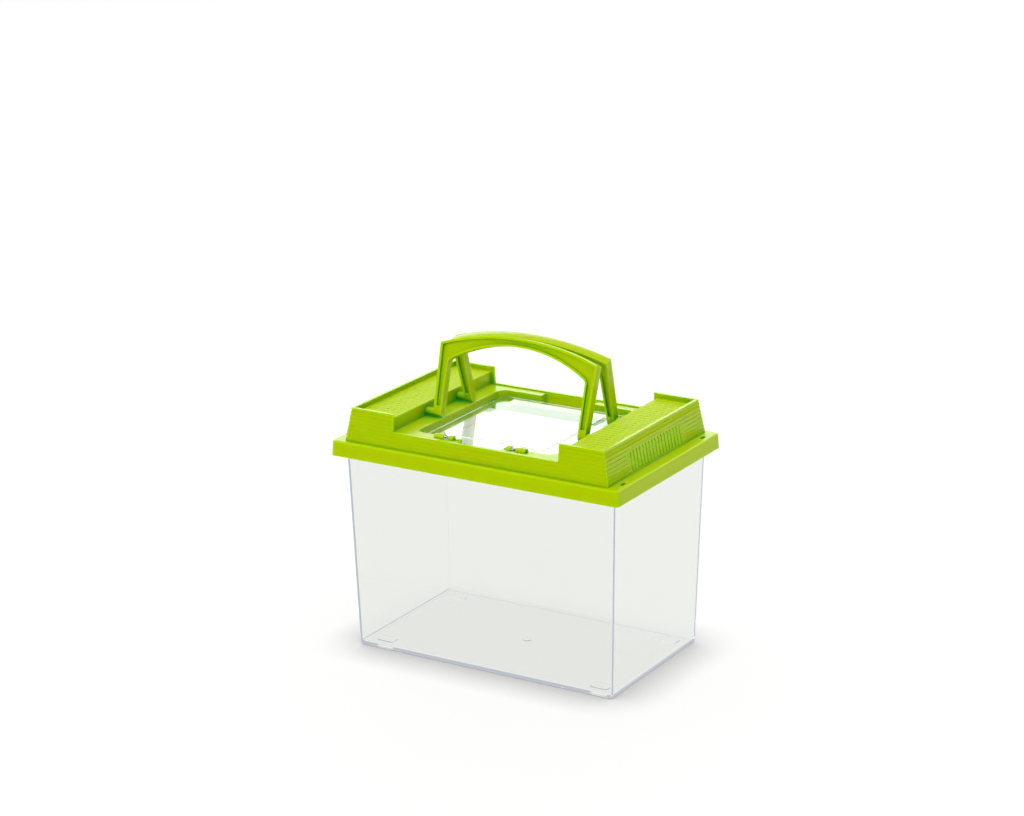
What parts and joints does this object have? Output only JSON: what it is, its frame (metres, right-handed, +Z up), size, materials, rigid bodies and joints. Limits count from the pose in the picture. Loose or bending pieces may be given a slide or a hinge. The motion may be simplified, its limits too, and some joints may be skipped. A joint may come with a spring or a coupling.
{
  "type": "plastic pet keeper",
  "caption": "Small plastic pet keeper: clear tapered tank, vented green snap-over lid with a clear hinged flap and two fold-down carry handles that meet as one grip.",
  "frame": {"origin": "middle of the flat underside of the tank, on the surface that it stands on", "axes": "+Z up, +X along the long side towards the right-hand end box, +Y towards the back; the flap's hinge is at the front, -Y"},
  "size_m": [0.232, 0.1498, 0.2303],
  "materials": {
    "clear_tank": "clear polystyrene, polished",
    "clear_flap": "clear polystyrene, polished",
    "green_lid": "glossy moulded lime green polypropylene",
    "green_handle": "glossy moulded lime green polypropylene"
  },
  "bodies": {
    "tank": {"tank": "clear_tank"},
    "lid": {"lid": "green_lid"},
    "flap": {"flap": "clear_flap"},
    "front_handle": {"front_handle": "green_handle"},
    "back_handle": {"back_handle": "green_handle"}
  },
  "joints": [
    {"name": "lid_lift", "type": "slide", "parent": "tank", "child": "lid", "axis": [0, 0, 1], "range_m": [0, 0.06]},
    {"name": "flap_open", "type": "hinge", "parent": "lid", "child": "flap", "pos_m": [0, -0.06046, 0.16755], "axis": [1, 0, 0], "range_deg": [0, 28]},
    {"name": "front_handle_fold", "type": "hinge", "parent": "lid", "child": "front_handle", "pos_m": [0, -0.021, 0.17105], "axis": [1, 0, 0], "range_deg": [0, 104]},
    {"name": "back_handle_fold", "type": "hinge", "parent": "lid", "child": "back_handle", "pos_m": [0, 0.021, 0.17105], "axis": [-1, 0, 0], "range_deg": [0, 104]}
  ]
}
